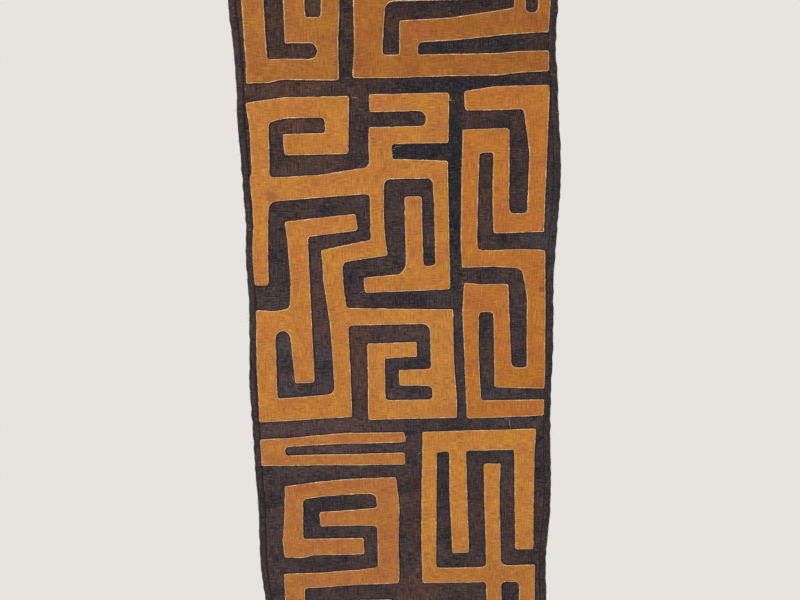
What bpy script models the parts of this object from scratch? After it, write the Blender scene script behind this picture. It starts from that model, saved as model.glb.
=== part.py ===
"""Kuba raffia cloth: one dark loom width with orange raffia shapes sewn on in a hand-cut meander.

The cloth hangs by its top edge. +Z is up, +X is to the viewer's right and the front faces -Y. The origin is
the middle of the top edge, on the back of the cloth. Each sheet is laid out flat first, and then takes the
shallow depth at which the cloth hangs.
"""

import math
import random
from collections import namedtuple

import bmesh
import bpy
import numpy as np
from mathutils import Vector
from mathutils.geometry import delaunay_2d_cdt

# Driving dimensions, in metres
CLOTH_WIDTH = 0.600
CLOTH_LENGTH = 1.510
CHART_ZERO = -0.505  # height of the chart's zero line, counted from the top edge
GROUND_THICKNESS = 0.0012
HEM_WIDTH = 0.013
HEM_THICKNESS = 0.0025
HEM_SHOULDER = 0.0006  # across the step from the hem down to the single cloth
PATCH_THICKNESS = 0.0010
PATCH_GAP = 0.00035  # between a patch and the ground behind it
HEM_GAP = 0.0005  # between a patch and the hem beside it
SLOT_CORNER = (0.006, 0.010)  # least and greatest radius where the dark ground turns into a patch
SQUARE_CORNER = 0.0035  # where such a turn was cut nearly square
ROUND_CORNER = 0.014  # and where it was cut wide
CORNER_REACH = 0.010  # how close to its place in the lists below such a turn is
PATCH_CORNER = (0.0012, 0.0035)  # least and greatest radius of a patch's own outer corners
SHORTEST_CUT = 0.005  # a step in an outline that is shorter than this is cut straight
LONGEST_CUT = 0.050  # the hand strays within this length
HAND_SWAY = 0.0004  # how far a hand-cut edge strays from its line
MM = 0.001

# The hanging cloth in sections, from its top edge down, in chart millimetres: the section's height, how far
# the left and right edges stray outwards from the nominal width, and how far the cloth stands off the wall.
Section = namedtuple("Section", "height left right depth")
SECTIONS = [
    Section(505, 1, -2, 0.0),
    Section(430, 4, -2, 0.8),
    Section(340, 8, -3, 1.8),
    Section(300, 3, -7, 2.3),
    Section(250, 1, -6, 2.7),
    Section(200, 1, -1, 2.6),
    Section(150, 4, 1, 2.2),
    Section(80, 1, 7, 1.3),
    Section(0, 1, 8, 0.6),
    Section(-50, -2, 4, 0.8),
    Section(-100, 4, 1, 1.4),
    Section(-170, 2, -3, 2.4),
    Section(-240, 3, -1, 3.2),
    Section(-325, 9, -1, 3.4),
    Section(-390, 12, -3, 2.9),
    Section(-470, 10, -3, 2.0),
    Section(-530, 10, -1, 1.4),
    Section(-580, 11, 1, 1.2),
    Section(-630, 8, 2, 1.5),
    Section(-680, 10, -1, 2.1),
    Section(-740, 12, -7, 3.0),
    Section(-790, 11, -7, 3.6),
    Section(-850, 4, -4, 3.9),
    Section(-930, 5, -3, 3.7),
    Section(-1005, 5, -3, 3.2),
]

# The ripple across the cloth, the same in every section, in millimetres: the two sides come forward
Ripple = namedtuple("Ripple", "x depth")
RIPPLES = [
    Ripple(-320, 1.7),
    Ripple(-190, 0.1),
    Ripple(-95, 0.7),
    Ripple(0, 0.0),
    Ripple(95, 0.4),
    Ripple(190, 0.2),
    Ripple(320, 1.9),
]

# The sewn patches. Each is cut in one piece, along strokes that run through stations of chart millimetres:
# across, up, and the stroke's width there. What the chart's edges leave out is finished plainly.
PATCHES = {
    "upper_left_patch": {
        "left post": [(-264, 475, 39), (-263, 330, 39), (-260.5, 250, 39), (-262, 215, 39)],
        "foot": [(-283, 233, 39), (-215, 238, 36), (-109, 236, 36)],
        "right post": [(-128.5, 217, 38), (-128, 290, 38), (-121, 340, 33), (-116, 475, 32)],
        "arm": [(-206, 306.5, 42), (-120, 305.5, 44)],
        "hook": [(-187, 284, 38), (-187, 405, 38)],
        "head": [(-284, 456, 38), (-166, 456, 38)],
    },
    "upper_right_patch": {
        "left post": [(-54, 395, 46), (-48, 350, 58), (-53.5, 270, 51), (-57, 219, 53)],
        "foot": [(-70, 240, 41), (90, 238, 38), (190, 239, 38), (225, 242, 37), (281, 243, 35)],
        "stem": [(20, 230, 33), (23, 318, 34)],
        "middle rail": [(8, 300, 40), (100, 302, 39), (160, 308, 41), (219, 315, 44)],
        "middle rail's end": [(195, 310, 38), (240, 310, 34), (281, 311, 34)],
        "thin post": [(226, 300, 20), (226, 400, 20)],
        "right post": [(271, 295, 22), (270, 475, 22)],
        "inner rail": [(-77, 374, 42), (172, 374, 42)],
        "head": [(-79, 456, 38), (281, 456, 38)],
    },
    "main_maze_patch": {
        "left post": [(-263, 176, 38), (-263, 120, 35), (-265, 50, 33), (-271.5, -50, 29), (-277, -165, 30)],
        "first rail": [(-283, 161, 36), (-237, 165, 39), (-210, 169, 37), (-93, 169, 37)],
        "first drop": [(-115, 188, 46), (-117, 83, 41)],
        "first hook": [(-95, 102, 38), (-218, 102, 38)],
        "second rail": [(-285, 17, 46), (-150, 24, 40), (-50, 33, 50)],
        "top rail": [(-54, 174.5, 31), (95, 174.5, 31)],
        "top drop": [(74, 190, 43), (72, 100, 41)],
        "top hook": [(-56, 115, 31), (93, 115, 31)],
        "neck": [(-35, 130, 43), (-35, 35, 43)],
        "bridge": [(-57, 52, 40), (-20, 53, 37), (92, 50, 31)],
        "right drop": [(77, 65, 30), (79.5, -20, 27), (81, -80, 28), (80.5, -180, 27)],
        "tongue foot": [(-73, -170, 29), (-4, -166, 32), (22, -158, 46), (94, -157, 47)],
        "tongue": [(25, 0, 32), (26, -150, 33)],
        "middle drop": [(-44, 45, 27), (-45, -40, 25), (-44, -112, 30)],
        "slant": [(-29, -95, 34), (-80, -102, 33), (-154, -114, 28)],
        "long drop": [(-134.5, -101, 39), (-134, -160, 38), (-125.5, -250, 35), (-122, -440, 31)],
        "left foot": [(-296, -424, 46), (-107, -414, 50)],
        "left riser": [(-272, -215, 38), (-276, -447, 38)],
        "left rail": [(-291, -236, 43), (-262, -239, 39), (-182, -232, 47)],
        "left inner drop": [(-201, -42, 40), (-199, -160, 36), (-203, -250, 44), (-199, -365, 38)],
        "left lintel": [(-222, -60, 34), (-85, -46.5, 31)],
        "square rail": [(-128, -230, 31), (100, -235, 29)],
        "square post": [(77, -222, 47), (77.5, -300, 45), (82, -445, 46)],
        "square foot": [(-73, -426, 40), (106, -426, 38)],
        "inner post": [(-54, -287, 33), (-56, -446, 34)],
        "inner hook": [(-71, -303, 31), (27, -301, 29)],
        "lower hook": [(-9, -359, 31), (60, -360, 34)],
    },
    "right_meander_patch": {
        "top arm": [(125, 175, 34), (180, 178, 42), (283, 180, 40)],
        "right post": [(262, 199, 40), (260, 150, 46), (262, 120, 40), (264.5, 80, 34), (261, -72, 32)],
        "turn": [(180, -55, 36), (277, -54, 36)],
        "inner post": [(194, 123, 29), (194, -20, 31), (197, -72, 35)],
        "second arm": [(124, 101, 43), (209, 101.5, 43)],
        "left post": [(137, 122, 32), (134.5, 40, 33), (132, -80, 31), (134, -138, 31)],
        "lower arm": [(117, -121, 33), (180, -122, 31), (225, -123.5, 36), (279, -126, 36)],
        "right riser": [(258, -109, 45), (260, -160, 42), (263.5, -200, 35), (266, -384, 35)],
        "lower turn": [(184, -362, 40), (283, -365, 43)],
        "lower inner post": [(195, -175, 28), (196, -260, 31), (201, -382, 35)],
        "block": [(121, -198, 58), (160, -200, 54), (208, -200, 54)],
        "lower left post": [(137, -180, 30), (136, -300, 28), (141, -447, 32)],
        "foot": [(127, -429, 37), (283, -427, 33)],
    },
    "short_fork_patch": {
        "upper bar": [(-298, -494, 18), (-225, -491, 18), (-120, -485, 22), (-8, -486, 21), (0, -484, 22)],
        "block": [(-272.5, -488, 51), (-272, -541, 51)],
        "lower bar": [(-298, -531, 20), (-120, -531, 21), (-1, -532, 25)],
    },
    "lower_left_patch": {
        "top rail": [(-251, -603, 28), (-205, -600, 33), (-180, -596, 32), (-120, -591, 33), (-20, -590, 34)],
        "left post": [(-232.5, -592, 36), (-236, -660, 38), (-240, -748, 40)],
        "left foot": [(-260, -729, 42), (-200, -725, 36), (-91, -725, 36)],
        "right post": [(-41, -577, 42), (-38, -640, 46), (-40, -720, 43), (-40, -811, 44)],
        "hook": [(-181, -663, 31), (-110, -660, 34), (-55, -660, 40)],
        "lower rail": [(-262, -802, 34), (-180, -801, 33), (-100, -796, 33), (-18, -790, 42)],
        "lower post": [(-242, -786, 42), (-243, -968, 42)],
        "end rail": [(-264, -949, 38), (-18, -949, 38)],
    },
    "lower_right_patch": {
        "top rail": [(37, -497, 43), (268, -494, 43)],
        "left post": [(51, -476, 28), (49, -600, 29), (45.5, -700, 30), (45, -811, 30)],
        "second post": [(108, -510, 33), (109, -620, 36), (113, -744, 34)],
        "third post": [(179, -547, 34), (178, -600, 32), (182, -750, 30), (184, -905, 32)],
        "right post": [(245, -473, 42), (245.5, -600, 38), (247, -738, 37)],
        "lower rail": [(32, -795, 33), (150, -796, 34), (270, -792, 40)],
        "lower post": [(254, -774, 33), (254, -968, 33)],
        "end rail": [(32, -949, 38), (270, -949, 38)],
        "riser": [(48, -968, 32), (48, -860, 32)],
    },
    "bottom_patch": {
        "bar": [(-105, -877, 54), (-33, -877, 54)],
    },
}

# Turns of the dark slots that were cut squarer or wider than the rest, across and up in chart millimetres
SQUARE_TURNS = [
    (-168, 328), (-142, 328), (5, 260), (38, 257), (216, 333), (-13, 99), (-13, 72), (-58, -82), (180, 80),
    (-218, -707), (126, -518),
]
ROUND_TURNS = [
    (-148, 285), (-148, 254), (-20, 353), (-243, 146), (-253, 0), (52, 158), (-30, 35), (8, -142),
    (-252, -258), (-220, -258), (-140, -389), (54, -250), (237, 157), (239, -141), (-61, -608), (201, -777),
]

# The dyes, as linear red, green and blue
GROUND_COLOUR = (0.058, 0.037, 0.034)
PATCH_COLOURS = {
    "upper_left_patch": (0.376, 0.136, 0.031),
    "upper_right_patch": (0.376, 0.136, 0.031),
    "main_maze_patch": (0.485, 0.181, 0.035),
    "right_meander_patch": (0.445, 0.156, 0.030),
    "short_fork_patch": (0.474, 0.175, 0.044),
    "lower_left_patch": (0.386, 0.133, 0.035),
    "lower_right_patch": (0.474, 0.176, 0.037),
    "bottom_patch": (0.430, 0.156, 0.035),
}
RAFFIA_ROUGHNESS = 0.92


def read_column(rows, key, column, place):
    """The value in a table's column at a place that may lie between two of its rows."""
    ordered = sorted(rows, key=lambda row: getattr(row, key))
    places = [getattr(row, key) for row in ordered]
    return float(np.interp(place, places, [getattr(row, column) for row in ordered]))


def side_edges(z):
    """Where the cloth's uneven left and right edges are at a height, in metres."""
    height = (z - CHART_ZERO) / MM
    left = CLOTH_WIDTH / 2 + MM * read_column(SECTIONS, "height", "left", height)
    right = CLOTH_WIDTH / 2 + MM * read_column(SECTIONS, "height", "right", height)
    return -left, right


def back_of_cloth(x, z):
    """The depth of the cloth's back, as it hangs, at a place on the cloth."""
    height = (z - CHART_ZERO) / MM
    off_wall = read_column(SECTIONS, "height", "depth", height) + read_column(RIPPLES, "x", "depth", x / MM)
    return -MM * off_wall


def ground_thickness(x, z):
    """The folded hem is thick, along all four edges, and the rest is one layer."""
    left, right = side_edges(z)
    from_edge = min(x - left, right - x, -z, z + CLOTH_LENGTH)
    return HEM_THICKNESS if from_edge < HEM_WIDTH + HEM_SHOULDER / 2 else GROUND_THICKNESS


def raffia(name, colour):
    """A dry, matt plant fibre in one dye."""
    material = bpy.data.materials.new(name)
    material.use_nodes = True
    shader = material.node_tree.nodes["Principled BSDF"]
    shader.inputs["Base Color"].default_value = (*colour, 1.0)
    shader.inputs["Roughness"].default_value = RAFFIA_ROUGHNESS
    shader.inputs["Metallic"].default_value = 0.0
    return material


def add_sheet(name, bm, colour):
    """Turns the closed sheet in bm into an object of that name."""
    bmesh.ops.recalc_face_normals(bm, faces=bm.faces)
    bmesh.ops.triangulate(bm, faces=bm.faces)
    mesh = bpy.data.meshes.new(name)
    bm.to_mesh(mesh)
    bm.free()
    mesh.materials.append(raffia(name, colour))
    bpy.context.scene.collection.objects.link(bpy.data.objects.new(name, mesh))


def thicken(bm):
    """Extrudes the faces in bm into a closed sheet, and returns the new vertices, which are its front."""
    extruded = bmesh.ops.extrude_face_region(bm, geom=bm.faces[:])["geom"]
    return [item for item in extruded if isinstance(item, bmesh.types.BMVert)]


def build_ground():
    """The dark loom width, with its uneven sides and its folded hem."""
    hem_lines = (HEM_WIDTH, HEM_WIDTH + HEM_SHOULDER)
    heights = [0.0, *(-line for line in hem_lines)]
    heights += [CHART_ZERO + MM * section.height for section in SECTIONS[1:-1]]
    heights += [*(line - CLOTH_LENGTH for line in reversed(hem_lines)), -CLOTH_LENGTH]
    creases = [MM * ripple.x for ripple in RIPPLES[1:-1]]
    last_row = len(heights) - 1
    last_column = len(creases) + 5

    bm = bmesh.new()
    bmesh.ops.create_grid(bm, x_segments=last_column, y_segments=last_row, size=1.0)
    for vert in bm.verts:
        z = heights[round((1 - vert.co.y) / 2 * last_row)]
        left, right = side_edges(z)
        across = [left, *(left + line for line in hem_lines), *creases]
        across += [*(right - line for line in reversed(hem_lines)), right]
        x = across[round((1 + vert.co.x) / 2 * last_column)]
        vert.co = (x, back_of_cloth(x, z), z)
    for vert in thicken(bm):
        vert.co.y -= ground_thickness(vert.co.x, vert.co.z)
    add_sheet("ground_cloth", bm, GROUND_COLOUR)


def stroke_outline(stations):
    """The outline of one stroke, square at both ends, as points across and up in metres, anticlockwise."""
    centres = [Vector((MM * x, CHART_ZERO + MM * height)) for x, height, _ in stations]
    left_side, right_side = [], []
    for index, (centre, (_, _, width)) in enumerate(zip(centres, stations)):
        along = centres[min(index + 1, len(centres) - 1)] - centres[max(index - 1, 0)]
        half = along.orthogonal().normalized() * MM * width / 2
        left_side.append(centre + half)
        right_side.append(centre - half)
    return right_side + left_side[::-1]


def cut_patch(strokes):
    """One flat face with the outline that all the strokes have together."""
    points, outlines = [], []
    for stations in strokes.values():
        outline = stroke_outline(stations)
        outlines.append(range(len(points), len(points) + len(outline)))
        points += outline
    joined, _, cells, _, _, sources = delaunay_2d_cdt(points, [], [list(o) for o in outlines], 0, 1e-6)

    bm = bmesh.new()
    corners = [bm.verts.new((point.x, 0.0, point.y)) for point in joined]
    for cell, source in zip(cells, sources):
        if source:
            bm.faces.new([corners[index] for index in cell])
    bmesh.ops.delete(bm, geom=[vert for vert in bm.verts if not vert.link_faces], context="VERTS")
    bmesh.ops.dissolve_faces(bm, faces=bm.faces[:])
    bmesh.ops.remove_doubles(bm, verts=bm.verts, dist=SHORTEST_CUT)
    bmesh.ops.dissolve_limit(bm, angle_limit=math.radians(2), verts=bm.verts[:], edges=bm.edges[:])
    return bm


def slot_radius(place, chance):
    """How tightly the hand turned the corner of a dark slot at a place on the cloth."""
    for radius, turns in ((SQUARE_CORNER, SQUARE_TURNS), (ROUND_CORNER, ROUND_TURNS)):
        for x, height in turns:
            if math.hypot(place.x - MM * x, place.z - CHART_ZERO - MM * height) < CORNER_REACH:
                return radius
    return chance.uniform(*SLOT_CORNER)


def round_corners(bm, chance):
    """Rounds the turns of an outline: the dark slots' ends well, the patch's own corners a little."""
    bm.normal_update()
    turns = [vert for vert in bm.verts if vert.link_loops[0].calc_angle() < math.radians(150)]
    for vert in turns:
        own_corner = vert.link_loops[0].is_convex
        radius = chance.uniform(*PATCH_CORNER) if own_corner else slot_radius(vert.co, chance)
        bmesh.ops.bevel(
            bm,
            geom=[vert],
            affect="VERTICES",
            offset=radius,
            offset_type="OFFSET",
            segments=2 if own_corner else 3,
            profile=0.5,
            clamp_overlap=True,
            material=-1,
        )


def sway(x, z):
    """How far a hand-cut edge strays across and up: slow waves, so that two sides of a slot stray alike."""
    across = 0.6 * math.sin(z / 0.021 + x / 0.060) + 0.4 * math.sin(z / 0.047 + x / 0.11 + 1.3)
    up = 0.6 * math.sin(x / 0.023 - z / 0.070 + 0.7) + 0.4 * math.sin(x / 0.051 + z / 0.13 + 2.1)
    return HAND_SWAY * across, HAND_SWAY * up


def build_patch(name, strokes):
    """One orange shape, cut by hand, laid on the ground and clear of the hem."""
    bm = cut_patch(strokes)
    round_corners(bm, random.Random(name))
    for edge in bm.edges[:]:
        cuts = int(edge.calc_length() / LONGEST_CUT)
        if cuts:
            bmesh.ops.bisect_edges(bm, edges=[edge], cuts=cuts)
    for vert in bm.verts:
        across, up = sway(vert.co.x, vert.co.z)
        vert.co.x += across
        vert.co.z += up

    creases = [((0, 0, CHART_ZERO + MM * section.height), (0, 0, 1)) for section in SECTIONS[1:-1]]
    creases += [((MM * ripple.x, 0, 0), (1, 0, 0)) for ripple in RIPPLES[1:-1]]
    for place, normal in creases:
        everything = bm.verts[:] + bm.edges[:] + bm.faces[:]
        bmesh.ops.bisect_plane(bm, geom=everything, dist=0.0004, plane_co=place, plane_no=normal)

    beside_hem = HEM_WIDTH + HEM_SHOULDER + HEM_GAP
    for vert in bm.verts:
        left, right = side_edges(vert.co.z)
        vert.co.x = min(max(vert.co.x, left + beside_hem), right - beside_hem)
        vert.co.y = back_of_cloth(vert.co.x, vert.co.z) - GROUND_THICKNESS - PATCH_GAP
    bmesh.ops.translate(bm, verts=thicken(bm), vec=(0, -PATCH_THICKNESS, 0))
    add_sheet(name, bm, PATCH_COLOURS[name])


for old in list(bpy.context.scene.objects):
    bpy.data.objects.remove(old, do_unlink=True)
build_ground()
for patch_name, patch_strokes in PATCHES.items():
    build_patch(patch_name, patch_strokes)
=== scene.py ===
"""Kuba raffia cloth, dressed: the woven ground with its folded hems, the raffia patches and their sewing.

Everything is in metres, +Z up, and the front of the cloth faces -Y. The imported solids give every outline
and how the cloth hangs.
"""

import math
import random
from collections import namedtuple

import bmesh
import bpy
import numpy as np
from mathutils import Matrix, Vector, kdtree, noise
from mathutils.bvhtree import BVHTree


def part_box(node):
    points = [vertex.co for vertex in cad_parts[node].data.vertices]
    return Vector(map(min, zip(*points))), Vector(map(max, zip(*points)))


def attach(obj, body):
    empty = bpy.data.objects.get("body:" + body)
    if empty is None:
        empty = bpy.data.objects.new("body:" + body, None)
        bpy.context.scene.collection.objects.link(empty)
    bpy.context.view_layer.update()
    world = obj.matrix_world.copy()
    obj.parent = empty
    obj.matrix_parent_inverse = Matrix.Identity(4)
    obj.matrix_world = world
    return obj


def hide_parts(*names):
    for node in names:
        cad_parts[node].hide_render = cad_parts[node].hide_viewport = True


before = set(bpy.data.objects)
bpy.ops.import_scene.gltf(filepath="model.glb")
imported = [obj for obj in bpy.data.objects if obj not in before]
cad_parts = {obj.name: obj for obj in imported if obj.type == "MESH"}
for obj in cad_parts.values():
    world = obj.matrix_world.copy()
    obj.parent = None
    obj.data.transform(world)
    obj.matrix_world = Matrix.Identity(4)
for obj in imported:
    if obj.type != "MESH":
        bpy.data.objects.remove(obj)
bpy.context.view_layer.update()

# The view: the cloth hangs at eye height and is seen close and a little from above, with a wide lens, so
# that its upper and lower ends run out of the picture.
EYE_PLACE = (0.0, -1.211, -0.505)
LOOK_DOWN = math.radians(9.44)
LEAN = math.radians(1.18)
eye = bpy.data.objects.new("eye", bpy.data.cameras.new("eye"))
eye.data.lens = 27.9
eye.data.sensor_width = 36.0
eye.location = EYE_PLACE
eye.rotation_euler = (math.pi / 2 - LOOK_DOWN, LEAN, 0.0)
bpy.context.scene.collection.objects.link(eye)
bpy.context.scene.camera = eye

# The ground cloth: one loom width of split raffia leaf in plain weave, dyed dark brown. Both long sides and
# both ends are folded to the front and sewn down, which gives a thick corded rim about 13 mm wide.
MM = 0.001
CHART_ZERO = -0.505  # the height from which the places of stains and tails are told
Fold = namedtuple("Fold", "inset front back")
HEM_FOLD = [  # millimetres in from the edge, and how far front and back stand off the hanging line there
    Fold(0.0, 1.4, 0.9),
    Fold(0.5, 2.1, 0.3),
    Fold(1.4, 2.55, 0.05),
    Fold(2.8, 2.5, 0.0),
    Fold(4.0, 2.0, 0.0),
    Fold(5.2, 2.3, 0.0),
    Fold(8.0, 2.45, 0.0),
    Fold(11.0, 2.3, 0.0),
    Fold(12.2, 1.7, 0.0),
    Fold(13.2, 1.15, 0.0),
]
HEM_REACH = MM * HEM_FOLD[-1].inset
HEM_DYE_REACH = HEM_REACH - 0.0003  # how far in the hem's own dye goes
GROUND_STEP = 0.0055  # between the threads that the mesh follows
SIDE_SOFTNESS = 5  # rows above and below over which the corners of the side edges are rounded
RELAX_TURNS = 24  # turns of smoothing, which ease the solid's straight folds into waves
SOLID_BACK = -0.0022  # at the top edge the solid's back lies behind this depth, and its front before it
NEAR_MIDDLE = 0.0001  # how far from the middle line the hang of the cloth is still read
CLEAR_OF_CLOTH = 0.1  # how far off the cloth the search for its surface starts
FRAY_REACH = 0.001  # how far in from an edge the cloth is frayed
FRAY = 0.0016  # how ragged the side edges are
END_FRAY = 0.0008  # and the two ends
FRAY_LUMP = 0.013  # the length of a rag along its edge
FRAY_CHANGE = 0.2  # the distance across the cloth over which the rags change
COCKLE = 0.00045  # how much the sewing draws the cloth up
COCKLE_LUMP = (0.035, 0.022)  # the size of its lumps, across and up, here and below
PUCKER = 0.000225  # how much the cloth puckers between the stitches
PUCKER_LUMP = (0.011, 0.013)
HEM_RIDGE = 0.00035  # how much the folded layers stand up in ridges along the hem
HEM_RIDGE_LUMP = (0.0035, 0.028)
GROUND_CONTRAST = 1.02  # how uneven the tone of the dark cloth is
GROUND_WEAR = 0.38  # how bare its worn strips are
INK_UPTAKE = (0.25, 1.2)  # the hues at which the ink starts to show and would cover all
HEM_STRIPE = (0.0028, 1.0, 0.045)  # the size of the stripes in the hem's own dye
HEM_STRIPE_EDGE = (0.80, 0.35)  # the noise at which that dye starts and is full
CREASE_SHADOW_SPAN = (-1.2, 0.0, 0.6, 2.2)  # where the painted shadow line beside the hem's inner fold starts, is full, thins and ends, in mm
RIM_SHADE = (1.2, 0.3)  # and where the shade on the fold's outer edge starts and is full
CREASE_SHADOW_SHARE = 0.8  # how dark both painted shadows are
Dye = namedtuple("Dye", "height colour")
GROUND_DYES = [  # from the lower end up
    Dye(-1005, (0.050, 0.030, 0.027)),
    Dye(-420, (0.048, 0.031, 0.031)),
    Dye(-120, (0.046, 0.028, 0.026)),
    Dye(120, (0.042, 0.023, 0.019)),
    Dye(330, (0.047, 0.023, 0.014)),
]
INK = (0.0105, 0.0112, 0.0160)  # where the dark dye was taken up most
SLATE = (0.042, 0.036, 0.043)  # where it was taken up bluer
RED_BROWN = (0.070, 0.031, 0.022)  # where it was taken up least
FADED = (0.085, 0.046, 0.038)  # where it looks faded
BARE_FIBRE = (0.125, 0.098, 0.084)  # strips from which it has worn
HEM_DYE = (0.026, 0.0205, 0.0215)
# the colour of the painted shadow along the hem's inner fold and the painted shade on its outer edge
HEM_CREASE_SHADOW = (0.0065, 0.0060, 0.0080)
Stain = namedtuple("Stain", "x height across up colour strength")
STAIN_RAG = 0.012  # the size of the rags in a stain's soft edge
STAIN_FIRMNESS = 3.5  # how soon a stain is full, from its edge in
GROUND_STAINS = [  # places on the chart and half sizes in millimetres; the thinnest is an old fold's line
    Stain(120, 203, 200, 22, INK, 0.8),
    Stain(50, 282, 130, 30, INK, 0.85),
    Stain(190, 275, 90, 24, INK, 0.7),
    Stain(70, 350, 190, 26, INK, 0.6),
    Stain(30, 85, 90, 28, INK, 0.9),
    Stain(106, 20, 24, 240, INK, 0.95),
    Stain(-239, -110, 22, 110, INK, 0.3),
    Stain(-30, -200, 130, 22, INK, 0.5),
    Stain(22, -640, 30, 110, INK, 0.2),
    Stain(-170, -620, 70, 70, INK, 0.5),
    Stain(80, -600, 26, 120, INK, 0.35),
    Stain(-165, -337, 95, 2, INK, 0.7),
    Stain(-235, -400, 85, 60, SLATE, 0.3),
    Stain(215, -420, 130, 60, SLATE, 0.3),
    Stain(-180, -300, 150, 34, SLATE, 0.6),
    Stain(270, -90, 44, 200, SLATE, 0.45),
    Stain(-200, 205, 120, 24, RED_BROWN, 0.6),
    Stain(-195, 136, 60, 20, RED_BROWN, 0.7),
    Stain(-160, 60, 90, 30, RED_BROWN, 0.5),
    Stain(-90, -260, 40, 90, RED_BROWN, 0.6),
    Stain(-85, -345, 30, 110, RED_BROWN, 0.6),
    Stain(-168, -225, 24, 110, RED_BROWN, 0.45),
    Stain(-15, 297, 22, 60, RED_BROWN, 0.3),
    Stain(165, -20, 60, 60, RED_BROWN, 0.4),
    Stain(177, -313, 20, 70, RED_BROWN, 0.3),
    Stain(20, -640, 34, 110, RED_BROWN, 0.35),
    Stain(150, -640, 30, 110, RED_BROWN, 0.35),
    Stain(222, -650, 26, 110, RED_BROWN, 0.35),
    Stain(20, -835, 60, 60, RED_BROWN, 0.6),
    Stain(10, -268, 70, 24, FADED, 0.4),
    Stain(-150, -463, 190, 24, FADED, 0.55),
    Stain(-140, -509, 150, 14, FADED, 0.5),
    Stain(20, -830, 70, 70, FADED, 0.35),
]


class Shade:
    """A shader socket: sums and products of it add Math nodes, and add() makes any other node."""

    def __init__(self, tree, socket=None):
        self.tree = tree
        self.socket = socket

    def add(self, kind, settings=(), inputs=(), output=0):
        """Adds a node, sets its settings and then its inputs, and returns one of its outputs."""
        node = self.tree.nodes.new(kind)
        for name, value in dict(settings).items():
            if name == "stops":
                ramp = node.color_ramp
                while len(ramp.elements) < len(value):
                    ramp.elements.new(1.0)
                for element, (place, colour) in zip(ramp.elements, value):
                    element.position = place
                    element.color = (*colour, 1.0)
            else:
                setattr(node, name, value)
        for name, value in dict(inputs).items():
            if isinstance(value, Shade):
                self.tree.links.new(value.socket, node.inputs[name])
            else:
                node.inputs[name].default_value = value
        return Shade(self.tree, node.outputs[output])

    def math(self, operation, first, second=0.0):
        """Adds a Math node that works on two values."""
        return self.add("ShaderNodeMath", {"operation": operation}, {0: first, 1: second})

    def __add__(self, other):
        return self.math("ADD", self, other)

    def __sub__(self, other):
        return self.math("SUBTRACT", self, other)

    def __rsub__(self, other):
        return self.math("SUBTRACT", other, self)

    def __mul__(self, other):
        return self.math("MULTIPLY", self, other)

    __radd__ = __add__
    __rmul__ = __mul__

    def tint(self, colour, share):
        """This colour mixed with another one, by a share that varies."""
        inputs = {0: share, 6: self, 7: (*colour, 1.0)}
        return self.add("ShaderNodeMix", {"data_type": "RGBA"}, inputs, output=2)

    def rise(self, low, high):
        """0 up to a low value, 1 from a high one on, and even between them."""
        return self.add("ShaderNodeMapRange", inputs={"Value": self, "From Min": low, "From Max": high})

    def noise(self, place, size, detail=2.0):
        """Soft noise whose lumps have a size in metres, which may differ along x, y and z."""
        scale = tuple(1 / length for length in size)
        spread = self.add("ShaderNodeMapping", inputs={"Vector": place, "Scale": scale})
        return self.add("ShaderNodeTexNoise", inputs={"Vector": spread, "Scale": 1.0, "Detail": detail})


def stained(colour, place, stains):
    """A colour with soft-edged stains at their places on the chart."""
    for stain in stains:
        centre = (MM * stain.x, 0.0, CHART_ZERO + MM * stain.height)
        reach = (MM * stain.across, 1.0, MM * stain.up)
        inputs = {"Vector": place, "Location": centre, "Scale": reach}
        spread = colour.add("ShaderNodeMapping", {"vector_type": "TEXTURE"}, inputs)
        mask = colour.add("ShaderNodeTexGradient", {"gradient_type": "SPHERICAL"}, {"Vector": spread})
        ragged = colour.noise(place, (STAIN_RAG, STAIN_RAG, STAIN_RAG))
        soft = colour.math("MINIMUM", mask * ragged * STAIN_FIRMNESS, 1.0)
        colour = colour.tint(stain.colour, soft * stain.strength)
    return colour


THREAD = 0.00125  # the width of one split leaf strip
FLECK = 0.008  # how far a strip keeps its own tone
FLECK_WIDTH = 0.001375  # the width of a strip that stands out
WEFT_FLECKS = (0.66, 0.76)  # the noise at which a weft strip starts to stand out and does so fully
WARP_FLECKS = (0.67, 0.77)
WAVER = 0.0025  # how far a thread wavers
WAVERS = 28.0  # and how often in a metre
WARP_SLUB = (0.00176, 1.0, 0.024)  # the size of a group of strips that took the dye alike
WEFT_SLUB = (0.016, 1.0, 0.0022)
WARP_AREA = (0.03, 0.03, 0.04)  # the size of the areas where the warp shows more than the weft
WARP_AREA_EDGE = (0.35, 0.65)  # the noise at which it starts to show more and does so fully
WARP_LEAST = 0.5  # outside these areas, how much the warp's groups show
WEFT_MOST = 1.4  # and how much the weft's groups do
CLOUD = (0.045, 0.045, 0.03)  # the size of the dye's clouds
BATH = (0.06, 0.06, 0.04)  # the size of the areas that the dye bath left redder or yellower
TAKE_UP = (0.0176, 1.0, 0.00352)  # the size of the groups of strips that took its hue alike
STRIP_SPREAD = 2.2  # how much the tone differs from strip to strip
SLUB_SPREAD = 2.6  # from group to group
CLOUD_SPREAD = 0.8  # and from cloud to cloud
BATH_SPREAD = 2.2  # how much the hue differs from area to area
TAKE_UP_SPREAD = 2.0  # and from group to group
CROWN_RELIEF = 0.16  # in millimetres, how high a strip rises where it crosses over another
SLUB_RELIEF = 0.30  # how much the thickness differs from group to group
STRIP_RELIEF = 0.14  # and from strip to strip
Raffia = namedtuple("Raffia", "material place tone hue fleck")


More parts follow.
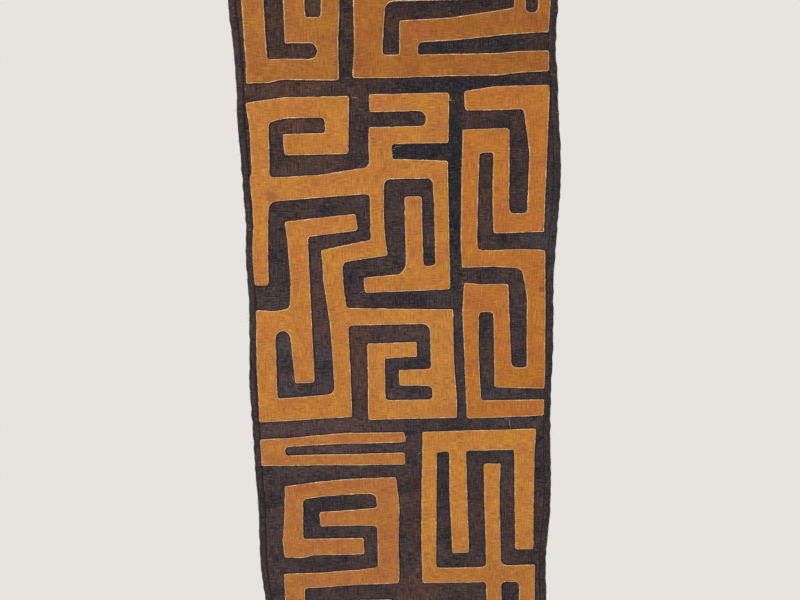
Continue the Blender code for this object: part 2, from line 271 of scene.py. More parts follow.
def raffia_cloth(name, turn, contrast):
    """A matt plain weave of uneven leaf strips: the tone of each, its hue, and where single ones stand out.

    Every noise in it lies about 0.5, which is taken off before the noise makes a tone or a hue.
    """
    material = bpy.data.materials.new(name)
    material.use_nodes = True
    shader = material.node_tree.nodes["Principled BSDF"]
    shader.inputs["Roughness"].default_value = 0.9
    shader.inputs["Specular IOR Level"].default_value = 0.15
    cloth = Shade(material.node_tree)
    place = cloth.add("ShaderNodeTexCoord", output="Object")

    waver = cloth.add("ShaderNodeTexNoise", inputs={"Vector": place, "Scale": WAVERS}, output=1)
    swing = (WAVER, WAVER, WAVER)
    bent = cloth.add("ShaderNodeVectorMath", {"operation": "MULTIPLY_ADD"}, {0: waver, 1: swing, 2: place})
    laid = cloth.add("ShaderNodeMapping", inputs={"Vector": bent, "Rotation": (0.0, turn, 0.0)})
    across = cloth.add("ShaderNodeSeparateXYZ", inputs={0: laid}, output="X")
    up = cloth.add("ShaderNodeSeparateXYZ", inputs={0: laid}, output="Z")
    crossing = cloth.math("SINE", across * (math.pi / THREAD)) * cloth.math("SINE", up * (math.pi / THREAD))
    warp_on_top = cloth.math("GREATER_THAN", crossing, 0.0)
    crown = cloth.math("ABSOLUTE", crossing)

    warp = cloth.noise(laid, (THREAD, 1.0, FLECK))
    weft = cloth.noise(laid, (FLECK, 1.0, THREAD))
    strip = weft + (warp - weft) * warp_on_top
    warp_slub = cloth.noise(laid, WARP_SLUB, detail=3.0)
    weft_slub = cloth.noise(laid, WEFT_SLUB, detail=3.0)
    warp_shows = cloth.noise(place, WARP_AREA).rise(*WARP_AREA_EDGE)
    slub = (warp_slub - 0.5) * (warp_shows + WARP_LEAST) + (weft_slub - 0.5) * (WEFT_MOST - warp_shows)
    cloud = cloth.noise(place, CLOUD, detail=3.0)
    uneven = (strip - 0.5) * STRIP_SPREAD + slub * SLUB_SPREAD + (cloud - 0.5) * CLOUD_SPREAD
    tone = 1.0 + uneven * contrast
    bath = cloth.noise(place, BATH)
    take_up = cloth.noise(laid, TAKE_UP)
    hue = (bath - 0.5) * BATH_SPREAD + (take_up - 0.5) * TAKE_UP_SPREAD + 0.5
    weft_fleck = cloth.noise(laid, (FLECK, 1.0, FLECK_WIDTH), detail=0.0).rise(*WEFT_FLECKS)
    warp_fleck = cloth.noise(laid, (FLECK_WIDTH, 1.0, FLECK), detail=0.0).rise(*WARP_FLECKS)
    fleck = cloth.math("MAXIMUM", weft_fleck, warp_fleck)

    relief = crown * CROWN_RELIEF + (warp_slub + weft_slub) * SLUB_RELIEF + strip * STRIP_RELIEF
    bump = cloth.add("ShaderNodeBump", inputs={"Strength": 1.0, "Distance": MM, "Height": relief})
    material.node_tree.links.new(bump.socket, shader.inputs["Normal"])
    return Raffia(material, place, tone, hue, fleck)


def paint(material, colour, tone):
    """Gives a cloth its colour, made lighter and darker by the tone of its threads."""
    toned = tone.add("ShaderNodeVectorMath", {"operation": "SCALE"}, {0: colour, "Scale": tone})
    shader = material.node_tree.nodes["Principled BSDF"]
    material.node_tree.links.new(toned.socket, shader.inputs["Base Color"])


def add_piece(mesh, material):
    """Puts a finished mesh into the scene, as a piece of the hanging cloth."""
    mesh.materials.append(material)
    mesh.shade_smooth()
    piece = bpy.data.objects.new(mesh.name, mesh)
    bpy.context.scene.collection.objects.link(piece)
    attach(piece, "root")
    return piece


def finish_mesh(name, bm):
    """Turns bm into a mesh whose faces point outwards."""
    bmesh.ops.recalc_face_normals(bm, faces=bm.faces)
    mesh = bpy.data.meshes.new(name)
    bm.to_mesh(mesh)
    bm.free()
    return mesh


def thread_lines(length):
    """How far along a length the mesh's lines lie: those of the hem at both ends, and even ones between."""
    rim = [MM * fold.inset for fold in HEM_FOLD]
    count = round((length - 2 * HEM_REACH) / GROUND_STEP)
    inner = [HEM_REACH + (length - 2 * HEM_REACH) * step / count for step in range(1, count)]
    return np.array(rim + inner + [length - inset for inset in reversed(rim)])


def lumps(x, z, size, seed):
    """Soft noise from -1 to 1 at a place, whose lumps have a size across and up."""
    return noise.noise(Vector((x / size[0], seed, z / size[1])))


sections = {}
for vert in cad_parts["ground_cloth"].data.vertices:
    sections.setdefault(round(vert.co.z, 4), []).append(vert.co.copy())
spans = {z: (min(co.x for co in row), max(co.x for co in row)) for z, row in sections.items()}
top, bottom = max(sections), min(sections)
cloth_length = top - bottom
cloth_width = spans[top][1] - spans[top][0]
heights = sorted(z for z, (left, right) in spans.items() if right - left > cloth_width - HEM_REACH)
falls = [max(co.y for co in sections[z] if abs(co.x) < NEAR_MIDDLE) for z in heights]
top_back = sorted((co.x, co.y) for co in sections[top] if co.y > SOLID_BACK)
row_drops = thread_lines(cloth_length)
column_insets = thread_lines(cloth_width)
softener = np.ones(2 * SIDE_SOFTNESS + 1) / (2 * SIDE_SOFTNESS + 1)
soft_sides = []
for end in (0, 1):
    side = [spans[z][end] for z in heights]
    padded = np.pad(np.interp(-row_drops, heights, side), SIDE_SOFTNESS, mode="edge")
    soft_sides.append(np.convolve(padded, softener, mode="valid"))

bm = bmesh.new()
hem_share = bm.verts.layers.float.new("hem")
from_edge = bm.verts.layers.float.new("from_edge")
bmesh.ops.create_grid(bm, x_segments=len(column_insets) - 1, y_segments=len(row_drops) - 1, size=1.0)
for vert in bm.verts:
    row = round((1 - vert.co.y) / 2 * (len(row_drops) - 1))
    column = round((1 + vert.co.x) / 2 * (len(column_insets) - 1))
    left, right = soft_sides[0][row], soft_sides[1][row]
    inset, drop = column_insets[column], row_drops[row]
    from_side = min(inset, cloth_width - inset)
    from_end = min(drop, cloth_length - drop)
    x = left + (right - left) * inset / cloth_width
    y = np.interp(-drop, heights, falls) + np.interp(x, *zip(*top_back))
    vert.co = (x, y, -drop)
    if from_side < FRAY_REACH:
        vert.co.x += FRAY * noise.noise(Vector((2.9, x / FRAY_CHANGE, drop / FRAY_LUMP)))
    if from_end < FRAY_REACH:
        vert.co.z += END_FRAY * lumps(x, drop, (FRAY_LUMP, FRAY_CHANGE), seed=6.3)
    vert[from_edge] = min(from_side, from_end)
    vert[hem_share] = 1.0 if vert[from_edge] < HEM_DYE_REACH else 0.0
for _ in range(RELAX_TURNS):
    bmesh.ops.smooth_vert(bm, verts=bm.verts, factor=0.5, use_axis_y=True)
for vert in bm.verts:
    x, _, z = vert.co
    vert.co.y += COCKLE * lumps(x, z, COCKLE_LUMP, seed=1.7)
    vert.co.y += PUCKER * lumps(x, z, PUCKER_LUMP, seed=8.3)
    if vert[from_edge] < HEM_REACH:
        vert.co.y += HEM_RIDGE * lumps(x, z, HEM_RIDGE_LUMP, seed=5.1)
insets, *stand_offs = zip(*HEM_FOLD)
fronts = {item for item in bmesh.ops.extrude_face_region(bm, geom=bm.faces[:])["geom"]}
for vert in bm.verts:
    vert.co.y -= MM * np.interp(vert[from_edge] / MM, insets, stand_offs[0 if vert in fronts else 1])

dark_raffia = raffia_cloth("dark raffia", 0.0, GROUND_CONTRAST)
tone = dark_raffia.tone
low, high = GROUND_DYES[0].height, GROUND_DYES[-1].height
stops = [((dye.height - low) / (high - low), dye.colour) for dye in GROUND_DYES]
height = tone.add("ShaderNodeSeparateXYZ", inputs={0: dark_raffia.place}, output="Z")
share = (height - (CHART_ZERO + MM * low)) * (1 / (MM * (high - low)))
colour = tone.add("ShaderNodeValToRGB", {"stops": stops}, {0: share})
colour = colour.tint(INK, dark_raffia.hue.rise(*INK_UPTAKE))
colour = stained(colour, dark_raffia.place, GROUND_STAINS)
in_hem = tone.add("ShaderNodeAttribute", {"attribute_name": "hem"}, output="Fac")
inset = tone.add("ShaderNodeAttribute", {"attribute_name": "from_edge"}, output="Fac")
stripe = tone.noise(dark_raffia.place, HEM_STRIPE)
colour = colour.tint(HEM_DYE, in_hem * stripe.rise(*HEM_STRIPE_EDGE))
colour = colour.tint(BARE_FIBRE, dark_raffia.fleck * GROUND_WEAR)
# Painted shadow: a dark line beside the hem's inner fold, and painted shade on the fold's outer edge, mixed
# into the colour.
start, full, thins, end = [HEM_REACH + MM * distance for distance in CREASE_SHADOW_SPAN]
crease_shadow = inset.rise(start, full) * inset.rise(end, thins)
rim = inset.rise(*[MM * distance for distance in RIM_SHADE])
paint(dark_raffia.material, colour.tint(HEM_CREASE_SHADOW, (crease_shadow + rim) * CREASE_SHADOW_SHARE), tone)

ground = add_piece(finish_mesh("raffia_ground", bm), dark_raffia.material)
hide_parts("ground_cloth")
ground_surface = BVHTree.FromPolygons(
    [vert.co for vert in ground.data.vertices], [face.vertices for face in ground.data.polygons]
)


def on_ground(x, z, side=-1):
    """The depth of the ground's front, or with side 1 of its back, at a place. None beside the cloth."""
    hit = ground_surface.ray_cast(Vector((x, side * CLEAR_OF_CLOTH, z)), Vector((0, -side, 0)))[0]
    return hit.y if hit else None


# The hem's sewing: a dark raffia thread, run along the inner edge of the fold in small stitches that show as
# short slanting dashes, on the front and on the back.
HEM_STITCH_INSET = 0.0124
HEM_STITCH_PITCH = 0.0065
HEM_STITCH_LENGTH = (0.00336, 0.00504)  # the least and the greatest, here and below
HEM_STITCH_GAUGE = (0.000765, 0.00108)
HEM_STITCH_SLANT = (0.15, 0.5)  # in radians, from the run of the hem
HEM_STITCH_TONE = (0.6, 1.5)
HEM_STITCH_RISE = 0.125  # how far its middle stands off the cloth, in gauges
STITCH_DEPTH = 0.85  # how deep every stitch is, in gauges
THREAD_GRAIN = (0.0012, 0.0012, 0.0012)  # the size of the unevenness along a thread
PITCH_SPREAD = (0.85, 1.15)  # how uneven the pitch of the sewing is
FIRST_STITCH = 0.5  # how far from the start of a run its first stitch lies, in pitches
LAST_STITCH = 0.3  # and how near its end the last one may lie
Stitch = namedtuple("Stitch", "x y z direction length gauge tone")


def stitch_shape(sides, rings):
    """A stitch 1 long along X and 1 thick, as its corners and its triangles."""
    bm = bmesh.new()
    bmesh.ops.create_uvsphere(
        bm, u_segments=sides, v_segments=rings, radius=0.5, matrix=Matrix.Rotation(math.pi / 2, 4, "Y")
    )
    bmesh.ops.triangulate(bm, faces=bm.faces)
    bmesh.ops.recalc_face_normals(bm, faces=bm.faces)
    bm.verts.index_update()
    corners = np.array([vert.co for vert in bm.verts])
    triangles = np.array([[vert.index for vert in face.verts] for face in bm.faces])
    bm.free()
    return corners, triangles


def sew(name, stitches, shape, material):
    """Makes one piece of many stitches, each laid along its direction in the plane of the cloth."""
    corners, triangles = shape
    turns = np.array([stitch.direction for stitch in stitches])
    lengths = np.array([stitch.length for stitch in stitches])
    gauges = np.array([stitch.gauge for stitch in stitches])
    along = corners[None, :, 0] * lengths[:, None]
    beside = corners[None, :, 2] * gauges[:, None]
    points = np.empty((len(stitches), len(corners), 3))
    points[..., 0] = along * np.cos(turns)[:, None] - beside * np.sin(turns)[:, None]
    points[..., 1] = corners[None, :, 1] * STITCH_DEPTH * gauges[:, None]
    points[..., 2] = along * np.sin(turns)[:, None] + beside * np.cos(turns)[:, None]
    points += np.array([stitch[:3] for stitch in stitches])[:, None, :]
    faces = triangles[None] + len(corners) * np.arange(len(stitches))[:, None, None]
    mesh = bpy.data.meshes.new(name)
    mesh.from_pydata(points.reshape(-1, 3).tolist(), [], faces.reshape(-1, 3).tolist())
    tones = np.repeat([stitch.tone for stitch in stitches], len(corners))
    mesh.attributes.new("tone", "FLOAT", "POINT").data.foreach_set("value", tones)
    return add_piece(mesh, material)


def sewing_thread(name, colour):
    """A matt twisted thread of leaf fibre, each stitch of its own tone."""
    material = bpy.data.materials.new(name)
    material.use_nodes = True
    shader = material.node_tree.nodes["Principled BSDF"]
    shader.inputs["Roughness"].default_value = 0.8
    shader.inputs["Specular IOR Level"].default_value = 0.3
    thread = Shade(material.node_tree)
    place = thread.add("ShaderNodeTexCoord", output="Object")
    own = thread.add("ShaderNodeAttribute", {"attribute_name": "tone"}, output="Fac")
    fibre = thread.noise(place, THREAD_GRAIN)
    paint(material, colour, own * (fibre + 0.5))
    bump = thread.add("ShaderNodeBump", inputs={"Strength": 0.6, "Distance": 0.0002, "Height": fibre})
    material.node_tree.links.new(bump.socket, shader.inputs["Normal"])
    return material


dark_thread = sewing_thread("dark thread", (0.030, 0.024, 0.025))
chance = random.Random("hem sewing")
hem_stitches = []
left_line = soft_sides[0] + HEM_STITCH_INSET
right_line = soft_sides[1] - HEM_STITCH_INSET
top_line, bottom_line = -HEM_STITCH_INSET, HEM_STITCH_INSET - cloth_length
runs = [
    [(x, -drop) for x, drop in zip(left_line, row_drops)],
    [(x, -drop) for x, drop in zip(right_line, row_drops)],
    [(left_line[0], top_line), (right_line[0], top_line)],
    [(left_line[-1], bottom_line), (right_line[-1], bottom_line)],
]


def stations(run, pitch, chance):
    """Places at an uneven pitch along a run of points across and up, each with the run's direction there.

    It draws from chance after each place, between the draws for that stitch and those for the next one.
    """
    points = np.array(run)
    steps = np.diff(points, axis=0)
    lengths = np.hypot(*steps.T)
    reached = np.concatenate([[0.0], np.cumsum(lengths)])
    place = FIRST_STITCH * pitch
    while place < reached[-1] - LAST_STITCH * pitch:
        index = min(int(np.searchsorted(reached, place, side="right")) - 1, len(steps) - 1)
        share = (place - reached[index]) / lengths[index]
        x, z = points[index] + share * steps[index]
        yield x, z, math.atan2(steps[index][1], steps[index][0])
        place += pitch * chance.uniform(*PITCH_SPREAD)


for run in runs:
    for x, z, direction in stations(run, HEM_STITCH_PITCH, chance):
        for side in (-1, 1):
            y = on_ground(x, z, side)
            if y is None:
                continue
            turn = direction + chance.uniform(*HEM_STITCH_SLANT)
            length = chance.uniform(*HEM_STITCH_LENGTH)
            gauge = chance.uniform(*HEM_STITCH_GAUGE)
            y += side * gauge * HEM_STITCH_RISE
            hem_stitches.append(Stitch(x, y, z, turn, length, gauge, chance.uniform(*HEM_STITCH_TONE)))
hem_shape = stitch_shape(sides=5, rings=4)
hem_sewing = sew("hem_sewing", hem_stitches, hem_shape, dark_thread)

# The patches: raffia cloth dyed orange brown, cut by hand without a pattern, its raw edges turned under
# about 8 mm and sewn to the ground, so that each edge stands up plumper than the middle.
PATCH_STEP = 0.0052  # between the threads that a patch's mesh follows
FIRST_CUT = 0.6  # how far in from its side the first of them lies, in steps
EDGE_STEP = 0.003  # the most between two corners of its outline
EDGE_SOFTNESS = 2  # turns of smoothing, which round the corners a little more
EDGE_RINGS = (0.0005, 0.0007)  # the widths of the mesh's two rings of faces along the outline
FACING_FRONT = -0.5  # a front face's normal points to -Y at least this much
WELD = 1e-5  # corners nearer to each other than this are one
PARTS = 4  # points on each side of the outline, from which the distance to the edge is told
Turned = namedtuple("Turned", "inset thickness")
TURNED_EDGE = [  # millimetres in from the edge, and how thick the patch is there
    Turned(0.0, 0.4),
    Turned(0.5, 1.25),
    Turned(1.2, 1.75),
    Turned(3.0, 1.9),
    Turned(6.0, 1.6),
    Turned(10.0, 1.05),
    Turned(14.0, 0.92),
]
BEHIND_PATCH = 0.00015  # how far the back of a patch stands off the ground
HAND_JITTER = 0.0004  # how unevenly the edge is cut and turned
JITTER_LUMP = (0.009, 0.009)
PATCH_CONTRAST = 0.46  # how uneven the tone of the orange cloth is
PATCH_WEAR = 0.2  # how much its worn strips stand out
STRAW = (1.04, 1.16, 0.82)  # what the dye becomes where it was taken up least, in red, green and blue
RUST = (0.95, 0.86, 1.12)  # and where it was taken up most
WORN_STRIP = (0.20, 0.066, 0.018)
Patch = namedtuple("Patch", "node turn dye")
PATCHES = [
    # The two upper patches are given darker colours than the others.
    Patch("upper_left_patch", 1.2, (0.275, 0.098, 0.020)),
    Patch("upper_right_patch", -0.8, (0.269, 0.091, 0.018)),
    Patch("main_maze_patch", 0.9, (0.370, 0.139, 0.028)),
    Patch("right_meander_patch", -1.5, (0.368, 0.126, 0.024)),
    Patch("short_fork_patch", 2.2, (0.342, 0.126, 0.031)),
    Patch("lower_left_patch", -1.1, (0.340, 0.121, 0.031)),
    Patch("lower_right_patch", 1.6, (0.420, 0.164, 0.032)),
    Patch("bottom_patch", 0.5, (0.385, 0.139, 0.031)),
]
PATCH_STAINS = [  # five small dark ones, and three wide ones where a patch took the dye otherwise
    Stain(50, 300, 36, 18, (0.32, 0.085, 0.030), 0.6),
    Stain(150, 238, 46, 16, (0.30, 0.090, 0.032), 0.55),
    Stain(-215, -592, 34, 16, (0.30, 0.080, 0.028), 0.6),
    Stain(-246, 6, 17, 14, (0.20, 0.060, 0.020), 0.55),
    Stain(275, -185, 8, 9, (0.14, 0.05, 0.018), 0.8),
    Stain(-200, 120, 110, 120, (0.335, 0.126, 0.022), 0.7),
    Stain(15, -330, 150, 170, (0.410, 0.168, 0.034), 0.85),
    Stain(150, -820, 190, 120, (0.355, 0.133, 0.028), 0.85),
]


def cut_cloth(node):
    """The flat front of a CAD patch as one face, its edge softened and uneven as a turned edge is."""
    bm = bmesh.new()
    bm.from_mesh(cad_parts[node].data)
    bmesh.ops.remove_doubles(bm, verts=bm.verts, dist=WELD)
    bm.normal_update()
    others = [face for face in bm.faces if face.normal.y > FACING_FRONT]
    bmesh.ops.delete(bm, geom=others, context="FACES")
    for vert in bm.verts:
        vert.co.y = 0.0
    bmesh.ops.dissolve_faces(bm, faces=bm.faces[:])
    for edge in bm.edges[:]:
        cuts = int(edge.calc_length() / EDGE_STEP)
        if cuts:
            bmesh.ops.bisect_edges(bm, edges=[edge], cuts=cuts)
    for _ in range(EDGE_SOFTNESS):
        bmesh.ops.smooth_vert(bm, verts=bm.verts, factor=0.5, use_axis_x=True, use_axis_z=True)
    for vert in bm.verts:
        x, _, z = vert.co
        vert.co.x += HAND_JITTER * lumps(x, z, JITTER_LUMP, seed=3.1)
        vert.co.z += HAND_JITTER * lumps(x, z, JITTER_LUMP, seed=10.1)
    bm.normal_update()
    return bm


def lay_patch(bm, name):
    """Turns the flat face in bm into a plump closed sheet on the ground, and returns it and its outline."""
    lift = bm.verts.layers.float.new("lift")
    outline = [(loop.vert.co.x, loop.vert.co.z) for loop in bm.faces[:][0].loops]
    tree = kdtree.KDTree(PARTS * len(outline))
    for index, (start, end) in enumerate(zip(outline, outline[1:] + outline[:1])):
        for part in range(PARTS):
            point = Vector((start[0], 0, start[1])).lerp(Vector((end[0], 0, end[1])), part / PARTS)
            tree.insert(point, PARTS * index + part)
    tree.balance()

    inner = bm.faces[:]
    for inset in EDGE_RINGS:
        bmesh.ops.inset_region(bm, faces=inner, thickness=inset, use_even_offset=True, use_boundary=True)
    for axis, normal in ((2, (0, 0, 1)), (0, (1, 0, 0))):
        places = [vert.co[axis] for vert in bm.verts]
        for cut in np.arange(min(places) + FIRST_CUT * PATCH_STEP, max(places), PATCH_STEP):
            through = Vector(normal) * float(cut)
            edges = {edge for face in inner for edge in face.edges}
            verts = {vert for edge in edges for vert in edge.verts}
            cut_up = bmesh.ops.bisect_plane(
                bm, geom=[*verts, *edges, *inner], dist=WELD, plane_co=through, plane_no=normal
            )["geom"]
            inner = [item for item in cut_up if isinstance(item, bmesh.types.BMFace)]

    for vert in bm.verts:
        distance = tree.find(vert.co)[2] / MM
        vert[lift] = MM * float(np.interp(distance, *zip(*TURNED_EDGE)))
        vert.co.y = on_ground(vert.co.x, vert.co.z) - BEHIND_PATCH
    for item in bmesh.ops.extrude_face_region(bm, geom=bm.faces[:])["geom"]:
        if isinstance(item, bmesh.types.BMVert):
            item.co.y -= item[lift]
    return finish_mesh(name, bm), outline


patches, outlines = {}, {}
for patch in PATCHES:
    flat_face = cut_cloth(patch.node)
    flat_area = sum(face.calc_area() for face in flat_face.faces)
    mesh, outlines[patch.node] = lay_patch(flat_face, patch.node.replace("_patch", "_raffia"))
    raffia = raffia_cloth(patch.node.replace("_", " "), math.radians(patch.turn), PATCH_CONTRAST)
    (left, _, bottom), (right, _, top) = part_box(patch.node)
    near = [
        stain
        for stain in PATCH_STAINS
        if left < MM * stain.x < right and bottom < CHART_ZERO + MM * stain.height < top
    ]
    straw, rust = [tuple(part * share for part, share in zip(patch.dye, tinge)) for tinge in (STRAW, RUST)]
    inputs = {0: raffia.hue, 6: (*straw, 1.0), 7: (*rust, 1.0)}
    colour = raffia.tone.add("ShaderNodeMix", {"data_type": "RGBA"}, inputs, output=2)
    colour = stained(colour, raffia.place, near).tint(WORN_STRIP, raffia.fleck * PATCH_WEAR)
    paint(raffia.material, colour, raffia.tone)
    piece = add_piece(mesh, raffia.material)
    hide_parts(patch.node)
    patches[patch.node] = (piece, (right - left, top - bottom), flat_area)

# The edging: undyed raffia thread, sewn in slanting stem stitches that overlap into one pale cord along
# every edge of every patch. Just outside it a dark thread, in a near blind seam, holds the edge down. That
# seam is partly a real seam and partly painted shadow: a near-black line standing in for the shadow beside
# each edge.
EDGING_PITCH = 0.0033
EDGING_LENGTH = (0.00486, 0.00621)
EDGING_GAUGE = (0.001105, 0.00143)
EDGING_SLANT = math.radians(13)
EDGING_WANDER = 0.08  # in radians, how uneven the slant is
EDGING_INSET = 0.00025  # how far in from the edge the stitches lie
EDGING_STRAY = 0.0001  # and how uneven that is
EDGING_LIFT = (0.00126, 0.00154)  # how far they stand off the ground
EDGING_TONE = (0.65, 1.35, 1.0)  # the least, the greatest and the commonest
EDGING_WEAR = 0.78  # the tone that handling has left
WEAR_SPREAD = 0.5  # how much that differs along an edge
WEAR_LUMP = (0.014, 0.014)
BACK_SHARE = 0.6  # the share of the stitches that show on the back
BACK_LENGTH = 0.6  # how long such a stitch is there, as a share of its length on the front
BACK_GAUGE = 0.7  # and how thick
BACK_TONE = 0.8
BACK_RISE = 0.04  # how far its middle stands off the back, in gauges of the front
# The dark seam's sizes: partly a real blind seam, partly a painted shadow line outside each patch's edge.
SHADOW_SEAM_PITCH = 0.0042
SHADOW_SEAM_LENGTH = (0.00592, 0.00814)
SHADOW_SEAM_GAUGE = (0.00216, 0.00297)
SHADOW_SEAM_WANDER = 0.1  # in radians, how uneven its direction is
SHADOW_SEAM_OUTSET = 0.0018  # how far outside the edge its middle lies
SHADOW_SEAM_STRAY = 0.00015  # and how uneven that is
SHADOW_SEAM_TONE = (0.6, 1.4)
tan_thread = sewing_thread("tan thread", (0.69, 0.46, 0.265))
# Painted shadow: the seam thread is near black with a red-brown cast, so that it reads as the shadow beside
# each patch's edge.
shadow_seam_thread = sewing_thread("shadow seam thread", (0.026, 0.0085, 0.0035))
edging_shape = stitch_shape(sides=6, rings=4)
plain_shape = stitch_shape(sides=5, rings=3)
back_stitches, shadow_seam_stitches = [], []
for patch in PATCHES:
    chance = random.Random(patch.node)
    outline = outlines[patch.node]
    for x, z, direction in stations(outline + outline[:1], SHADOW_SEAM_PITCH, chance):
        outset = SHADOW_SEAM_OUTSET + chance.gauss(0, SHADOW_SEAM_STRAY)
        x += outset * math.sin(direction)
        z -= outset * math.cos(direction)
        gauge = chance.uniform(*SHADOW_SEAM_GAUGE)
        turn = direction + chance.gauss(0, SHADOW_SEAM_WANDER)
        length = chance.uniform(*SHADOW_SEAM_LENGTH)
        tone = chance.uniform(*SHADOW_SEAM_TONE)
        shadow_seam_stitches.append(Stitch(x, on_ground(x, z), z, turn, length, gauge, tone))
    stitches = []
    for x, z, direction in stations(outline + outline[:1], EDGING_PITCH, chance):
        inset = EDGING_INSET + chance.gauss(0, EDGING_STRAY)
        x -= inset * math.sin(direction)
        z += inset * math.cos(direction)
        y = on_ground(x, z) - chance.uniform(*EDGING_LIFT)
        turn = direction + EDGING_SLANT + chance.gauss(0, EDGING_WANDER)
        length = chance.uniform(*EDGING_LENGTH)
        gauge = chance.uniform(*EDGING_GAUGE)
        wear = EDGING_WEAR + WEAR_SPREAD * lumps(x, z, WEAR_LUMP, seed=4.7)
        stitches.append(Stitch(x, y, z, turn, length, gauge, wear * chance.triangular(*EDGING_TONE)))
        if chance.random() < BACK_SHARE:
            behind = on_ground(x, z, 1) + BACK_RISE * gauge
            back = Stitch(x, behind, z, direction, BACK_LENGTH * length, BACK_GAUGE * gauge, BACK_TONE)
            back_stitches.append(back)
    piece, flat, flat_area = patches[patch.node]
    edging = sew(patch.node.replace("_patch", "_edging"), stitches, edging_shape, tan_thread)
sew("back_stitches", back_stitches, plain_shape, tan_thread)
sew("shadow_seams", shadow_seam_stitches, plain_shape, shadow_seam_thread)

# Loose ends: split leaf strips that have worked out of the hems, and the tails of the sewing threads, which
# were never trimmed. Each is one bare fibre, caught at its root and free at its tip.
TAIL_POINTS = 7  # along every loose end
TAIL_GAUGE = 0.00045
TAIL_LIFT = 0.00168  # how far a tail's root stands off the ground
TAIL_RISE = 0.12  # how steeply its middle rises
TAPER = 0.6  # how much thinner every loose end gets towards its tip
FIBRE_GAUGE = 0.00035
FIBRE_PITCH = 0.006
FIBRE_GAPS = 0.35  # the share of the places along the hem that have no loose fibre
FIBRE_INSET = 0.0006  # how far in from the edge a fibre's root lies
FIBRE_DEPTH = 0.0004  # and how deep in the fold
FIBRE_WANDER = 0.9  # in radians, how far from straight outwards it sets out
FIBRE_BEND = 1.4  # and the most that it bends
FIBRE_RISE = 0.1
SHORTEST_FIBRE = 0.0012
FIBRE_SPREAD = 0.0018  # how much longer than the shortest one a fibre is on average
LONGEST_FIBRE = 0.009
Tail = namedtuple("Tail", "x height length degrees bend")
TAILS = [  # millimetres on the chart, the direction of each tail and how far it bends, in degrees
    Tail(-86, 184, 15, 20, -60),
    Tail(95, 178, 12, -35, 50),
    Tail(95, 176, 9, 15, 70),
    Tail(-8, 90, 14, 215, -60),
    Tail(-12, 84, 11, 150, 80),
    Tail(-8, 93, 12, 20, -30),
    Tail(-10, 80, 13, 200, 40),
    Tail(-74, -182, 12, 185, 35),
    Tail(-224, -352, 16, -70, 60),
    Tail(-196, -232, 9, 100, -70),
    Tail(214, -452, 24, -92, 18),
    Tail(201, -445, 10, -60, 80),
    Tail(-150, 289, 12, -100, 50),
    Tail(-60, 262, 9, 170, 60),
    Tail(122, -172, 10, 140, -50),
    Tail(-2, -487, 9, 10, 60),
    Tail(31, -520, 8, 200, 60),
    Tail(-20, -640, 12, -20, 70),
    Tail(-196, -690, 10, 60, 60),
]


def lay_fibres(name, routes, gauge, material):
    """Makes one piece of many fibres, each a round thread through its own points."""
    fibres = bpy.data.curves.new(name, "CURVE")
    fibres.dimensions = "3D"
    fibres.bevel_depth = gauge / 2
    fibres.bevel_resolution = 0
    fibres.use_fill_caps = True
    for route in routes:
        spline = fibres.splines.new("POLY")
        spline.points.add(len(route) - 1)
        for index, (point, place) in enumerate(zip(spline.points, route)):
            point.co = (*place, 1.0)
            point.radius = 1.0 - TAPER * index / len(route)
    made = bpy.data.objects.new(name, fibres)
    mesh = bpy.data.meshes.new_from_object(made)
    bpy.data.objects.remove(made)
    bpy.data.curves.remove(fibres)
    mesh.name = name
    tones = [1.0] * len(mesh.vertices)
    mesh.attributes.new("tone", "FLOAT", "POINT").data.foreach_set("value", tones)
    return add_piece(mesh, material)


def free_end(root, length, direction, bend, rise):
    """Points along a fibre that leaves its root in a direction, bends evenly and rises off the cloth."""
    points = [Vector(root)]
    for step in range(TAIL_POINTS - 1):
        turn = direction + bend * step / (TAIL_POINTS - 2)
        stride = Vector((math.cos(turn), -rise * math.sin(math.pi * step / TAIL_POINTS), math.sin(turn)))
        points.append(points[-1] + stride * length / (TAIL_POINTS - 1))
    return points


tails = []
for tail in TAILS:
    x, z = MM * tail.x, CHART_ZERO + MM * tail.height
    root = (x, on_ground(x, z) - TAIL_LIFT, z)
    direction, bend = math.radians(tail.degrees), math.radians(tail.bend)
    tails.append(free_end(root, MM * tail.length, direction, bend, TAIL_RISE))
lay_fibres("thread_tails", tails, TAIL_GAUGE, tan_thread)

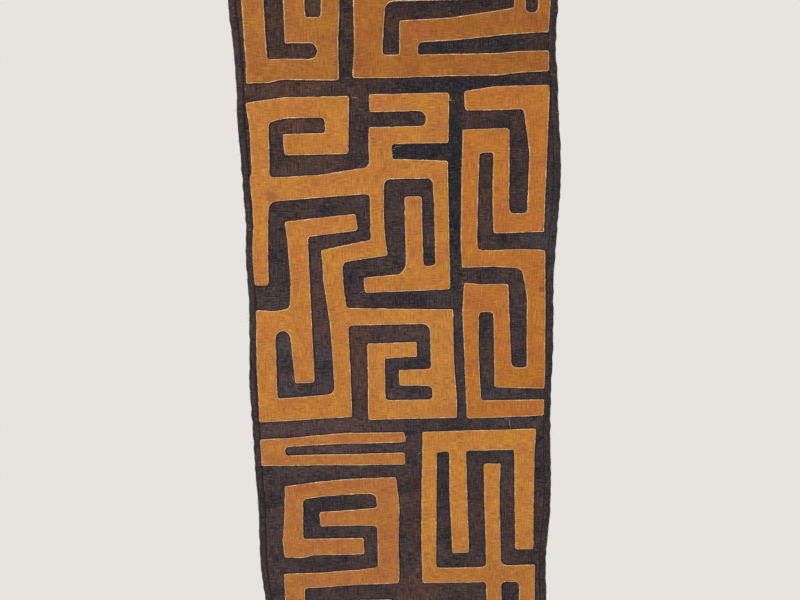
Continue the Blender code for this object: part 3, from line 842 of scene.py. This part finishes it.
chance = random.Random("loose fibres")
fibres = []
for side, sides in ((-1, soft_sides[0]), (1, soft_sides[1])):
    outwards = 0.0 if side > 0 else math.pi
    run = list(zip(sides - FIBRE_INSET * side, -row_drops))
    for x, z, _ in stations(run, FIBRE_PITCH, chance):
        if on_ground(x, z) is None or chance.random() < FIBRE_GAPS:
            continue
        root = (x, on_ground(x, z) + FIBRE_DEPTH, z)
        direction = outwards + chance.gauss(0, FIBRE_WANDER)
        length = min(LONGEST_FIBRE, SHORTEST_FIBRE + chance.expovariate(1 / FIBRE_SPREAD))
        bend = chance.uniform(-FIBRE_BEND, FIBRE_BEND)
        fibres.append(free_end(root, length, direction, bend, FIBRE_RISE))
lay_fibres("hem_fibres", fibres, FIBRE_GAUGE, dark_thread)

# The stage: a plain pale floor well below the cloth and soft studio light, mostly from the upper left.
ROOM_LIGHT = 0.62  # how much of the pale room's light reaches the cloth
FLOOR_HEIGHT = -2.2
LIT_PLACE = Vector((0, 0, -0.6))
Lamp = namedtuple("Lamp", "name place size power")
LAMPS = [
    Lamp("key", (-2.4, -2.5, 0.45), 1.3, 150.0),
    Lamp("fill", (1.9, -2.0, -0.2), 2.0, 10.0),
    Lamp("back", (0.9, 2.0, 0.2), 1.6, 34.0),
]
bm = bmesh.new()
lowered = Matrix.Translation((0, 0, FLOOR_HEIGHT))
bmesh.ops.create_grid(bm, x_segments=1, y_segments=1, size=1.0, matrix=lowered)
floor_mesh = bpy.data.meshes.new("floor")
bm.to_mesh(floor_mesh)
bm.free()
paper = bpy.data.materials.new("pale floor")
paper.use_nodes = True
shader = paper.node_tree.nodes["Principled BSDF"]
shader.inputs["Base Color"].default_value = (0.72, 0.70, 0.67, 1)
shader.inputs["Roughness"].default_value = 0.9
floor_mesh.materials.append(paper)
floor = bpy.data.objects.new("floor", floor_mesh)
bpy.context.scene.collection.objects.link(floor)
for lamp in LAMPS:
    light = bpy.data.objects.new(lamp.name, bpy.data.lights.new(lamp.name, "AREA"))
    light.data.size = lamp.size
    light.data.energy = lamp.power
    light.location = lamp.place
    light.rotation_euler = (LIT_PLACE - Vector(lamp.place)).to_track_quat("-Z", "Y").to_euler()
    bpy.context.scene.collection.objects.link(light)
world = bpy.data.worlds.new("pale room")
bpy.context.scene.world = world
world.use_nodes = True
room = Shade(world.node_tree)
seen = room.add("ShaderNodeLightPath", output="Is Camera Ray")
backdrop = world.node_tree.nodes["Background"]
backdrop.inputs["Color"].default_value = (0.80, 0.77, 0.745, 1)
world.node_tree.links.new((seen * (1.0 - ROOM_LIGHT) + ROOM_LIGHT).socket, backdrop.inputs["Strength"])
bpy.context.scene.view_settings.view_transform = "Standard"
